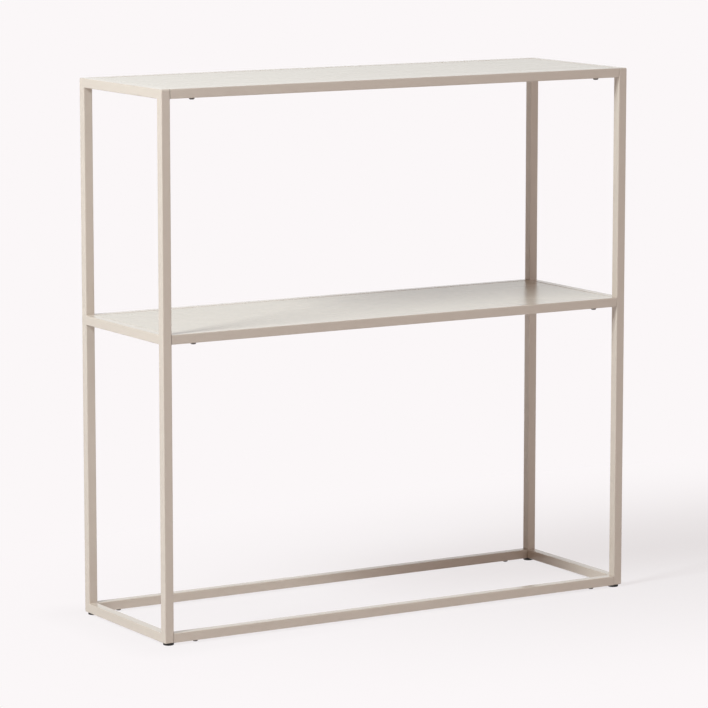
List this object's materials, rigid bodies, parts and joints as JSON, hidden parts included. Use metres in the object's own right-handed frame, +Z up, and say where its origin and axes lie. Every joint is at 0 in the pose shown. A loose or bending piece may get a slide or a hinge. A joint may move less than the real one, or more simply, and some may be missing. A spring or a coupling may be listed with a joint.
{
  "type": "open shelving unit",
  "caption": "Open metal console shelving unit: slim square-tube frame with a flat top, one middle shelf, an open base and levelling feet.",
  "frame": {"origin": "on the floor, below the middle of the unit", "axes": "+X to the right along the shelves, +Y to the rear, +Z up"},
  "size_m": [0.914, 0.291, 0.918],
  "materials": {
    "powder_coat": "satin",
    "zinc_plate": "satin",
    "black_oxide": "satin",
    "black_nylon": "matte"
  },
  "bodies": {
    "frame": {"left_front_post": "powder_coat", "left_rear_post": "powder_coat", "left_bottom_cross_rail": "powder_coat", "left_middle_cross_rail": "powder_coat", "left_top_cross_rail": "powder_coat", "right_front_post": "powder_coat", "right_rear_post": "powder_coat", "right_bottom_cross_rail": "powder_coat", "right_middle_cross_rail": "powder_coat", "right_top_cross_rail": "powder_coat", "bottom_front_rail": "powder_coat", "bottom_rear_rail": "powder_coat", "middle_front_rail": "powder_coat", "middle_rear_rail": "powder_coat", "top_front_rail": "powder_coat", "top_rear_rail": "powder_coat", "middle_shelf": "powder_coat", "top_shelf": "powder_coat", "bottom_front_left_spigot": "zinc_plate", "bottom_front_right_spigot": "zinc_plate", "bottom_rear_left_spigot": "zinc_plate", "bottom_rear_right_spigot": "zinc_plate", "middle_front_left_spigot": "zinc_plate", "middle_front_right_spigot": "zinc_plate", "middle_rear_left_spigot": "zinc_plate", "middle_rear_right_spigot": "zinc_plate", "top_front_left_spigot": "zinc_plate", "top_front_right_spigot": "zinc_plate", "top_rear_left_spigot": "zinc_plate", "top_rear_right_spigot": "zinc_plate", "bottom_front_left_bolt": "black_oxide", "bottom_front_right_bolt": "black_oxide", "bottom_rear_left_bolt": "black_oxide", "bottom_rear_right_bolt": "black_oxide", "middle_front_left_bolt": "black_oxide", "middle_front_right_bolt": "black_oxide", "middle_rear_left_bolt": "black_oxide", "middle_rear_right_bolt": "black_oxide", "top_front_left_bolt": "black_oxide", "top_front_right_bolt": "black_oxide", "top_rear_left_bolt": "black_oxide", "top_rear_right_bolt": "black_oxide", "front_left_threaded_bush": "zinc_plate", "front_right_threaded_bush": "zinc_plate", "rear_left_threaded_bush": "zinc_plate", "rear_right_threaded_bush": "zinc_plate"},
    "front_left_glide": {"front_left_glide_pad": "black_nylon", "front_left_glide_stud": "zinc_plate"},
    "front_right_glide": {"front_right_glide_pad": "black_nylon", "front_right_glide_stud": "zinc_plate"},
    "rear_left_glide": {"rear_left_glide_pad": "black_nylon", "rear_left_glide_stud": "zinc_plate"},
    "rear_right_glide": {"rear_right_glide_pad": "black_nylon", "rear_right_glide_stud": "zinc_plate"}
  },
  "joints": [
    {"name": "front_left_glide_travel", "type": "slide", "parent": "frame", "child": "front_left_glide", "axis": [0, 0, -1], "range_m": [0, 0.01]},
    {"name": "front_right_glide_travel", "type": "slide", "parent": "frame", "child": "front_right_glide", "axis": [0, 0, -1], "range_m": [0, 0.01]},
    {"name": "rear_left_glide_travel", "type": "slide", "parent": "frame", "child": "rear_left_glide", "axis": [0, 0, -1], "range_m": [0, 0.01]},
    {"name": "rear_right_glide_travel", "type": "slide", "parent": "frame", "child": "rear_right_glide", "axis": [0, 0, -1], "range_m": [0, 0.01]}
  ]
}
